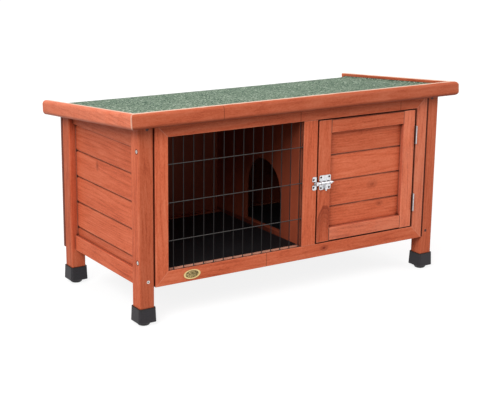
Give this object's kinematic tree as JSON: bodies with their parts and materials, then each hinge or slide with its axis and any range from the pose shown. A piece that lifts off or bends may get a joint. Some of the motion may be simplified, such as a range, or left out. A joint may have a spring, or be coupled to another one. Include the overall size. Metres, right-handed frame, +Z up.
{
  "type": "rabbit hutch",
  "caption": "Raised timber rabbit hutch: wire-fronted run, boarded nest box with a hinged and bolted door, arched inner doorway and a felted roof that lifts on hinges at the back.",
  "frame": {"origin": "on the ground, under the centre of the whole hutch's bounding box", "axes": "+X to the right seen from the front, +Y from the front to the back, +Z up; the wire front and the door face -Y"},
  "size_m": [0.888, 0.441, 0.4725],
  "materials": {
    "stained_pine": "orange-red translucent stain, satin, grain and knots showing",
    "ply": "stained plywood, satin",
    "black_ply": "black film face, low sheen",
    "felt": "green mineral granules on bitumen felt, matt and coarse",
    "cap_plastic": "dark grey moulded plastic, fine texture",
    "wire": "dark powder coat",
    "zinc_steel": "bright zinc plate",
    "fastener_steel": "zinc plate",
    "badge_metal": "aged brass with a raised rim"
  },
  "bodies": {
    "hutch": {"back_bottom_rail": "stained_pine", "back_panel": "ply", "back_panel_nails": "fastener_steel", "back_top_rail": "stained_pine", "badge_plate": "badge_metal", "door_hinge_frame_leaves": "zinc_steel", "door_hinge_pins": "zinc_steel", "floor_batten_back": "stained_pine", "floor_batten_front": "stained_pine", "floor_panel": "black_ply", "foot_cap_back_left": "cap_plastic", "foot_cap_back_right": "cap_plastic", "foot_cap_front_left": "cap_plastic", "foot_cap_front_right": "cap_plastic", "frame_bottom_rail": "stained_pine", "frame_leaf_screws": "fastener_steel", "frame_left_stile": "stained_pine", "frame_mullion": "stained_pine", "frame_right_stile": "stained_pine", "frame_screws": "fastener_steel", "frame_top_rail": "stained_pine", "keeper_screws": "fastener_steel", "latch_keeper": "zinc_steel", "left_bottom_rail": "stained_pine", "left_side_boards": "stained_pine", "left_top_rail": "stained_pine", "leg_back_left": "stained_pine", "leg_back_right": "stained_pine", "leg_front_left": "stained_pine", "leg_front_right": "stained_pine", "partition_cleats": "stained_pine", "partition_panel": "ply", "rail_screws": "fastener_steel", "right_bottom_rail": "stained_pine", "right_side_boards": "stained_pine", "right_top_rail": "stained_pine", "roof_hinge_body_leaves": "zinc_steel", "roof_hinge_body_screws": "fastener_steel", "roof_hinge_pins": "zinc_steel", "wire_mesh": "wire"},
    "door": {"door_boards": "stained_pine", "door_bottom_rail": "stained_pine", "door_hinge_door_leaves": "zinc_steel", "door_leaf_screws": "fastener_steel", "door_left_stile": "stained_pine", "door_right_stile": "stained_pine", "door_top_rail": "stained_pine", "latch_plate": "zinc_steel", "latch_screws": "fastener_steel"},
    "bolt": {"latch_bolt": "zinc_steel"},
    "knob": {"latch_knob": "zinc_steel"},
    "roof": {"roof_board": "ply", "roof_felt": "felt", "roof_front_trim": "stained_pine", "roof_hinge_lid_leaves": "zinc_steel", "roof_hinge_lid_screws": "fastener_steel", "roof_left_trim": "stained_pine", "roof_right_trim": "stained_pine"}
  },
  "joints": [
    {"name": "door_hinge", "type": "hinge", "parent": "hutch", "child": "door", "pos_m": [0.33945, -0.19173, 0.26431], "axis": [0, 0, 1], "range_deg": [0, 170]},
    {"name": "roof_hinge", "type": "hinge", "parent": "hutch", "child": "roof", "pos_m": [0, 0.19937, 0.41292], "axis": [-1, 0, 0], "range_deg": [0, 100]},
    {"name": "bolt_slide", "type": "slide", "parent": "door", "child": "bolt", "axis": [-1, 0, 0], "range_m": [0, 0.0075]},
    {"name": "knob_swing", "type": "hinge", "parent": "bolt", "child": "knob", "pos_m": [0.0712, -0.19473, 0.26341], "axis": [-1, 0, 0], "range_deg": [0, 180]}
  ]
}
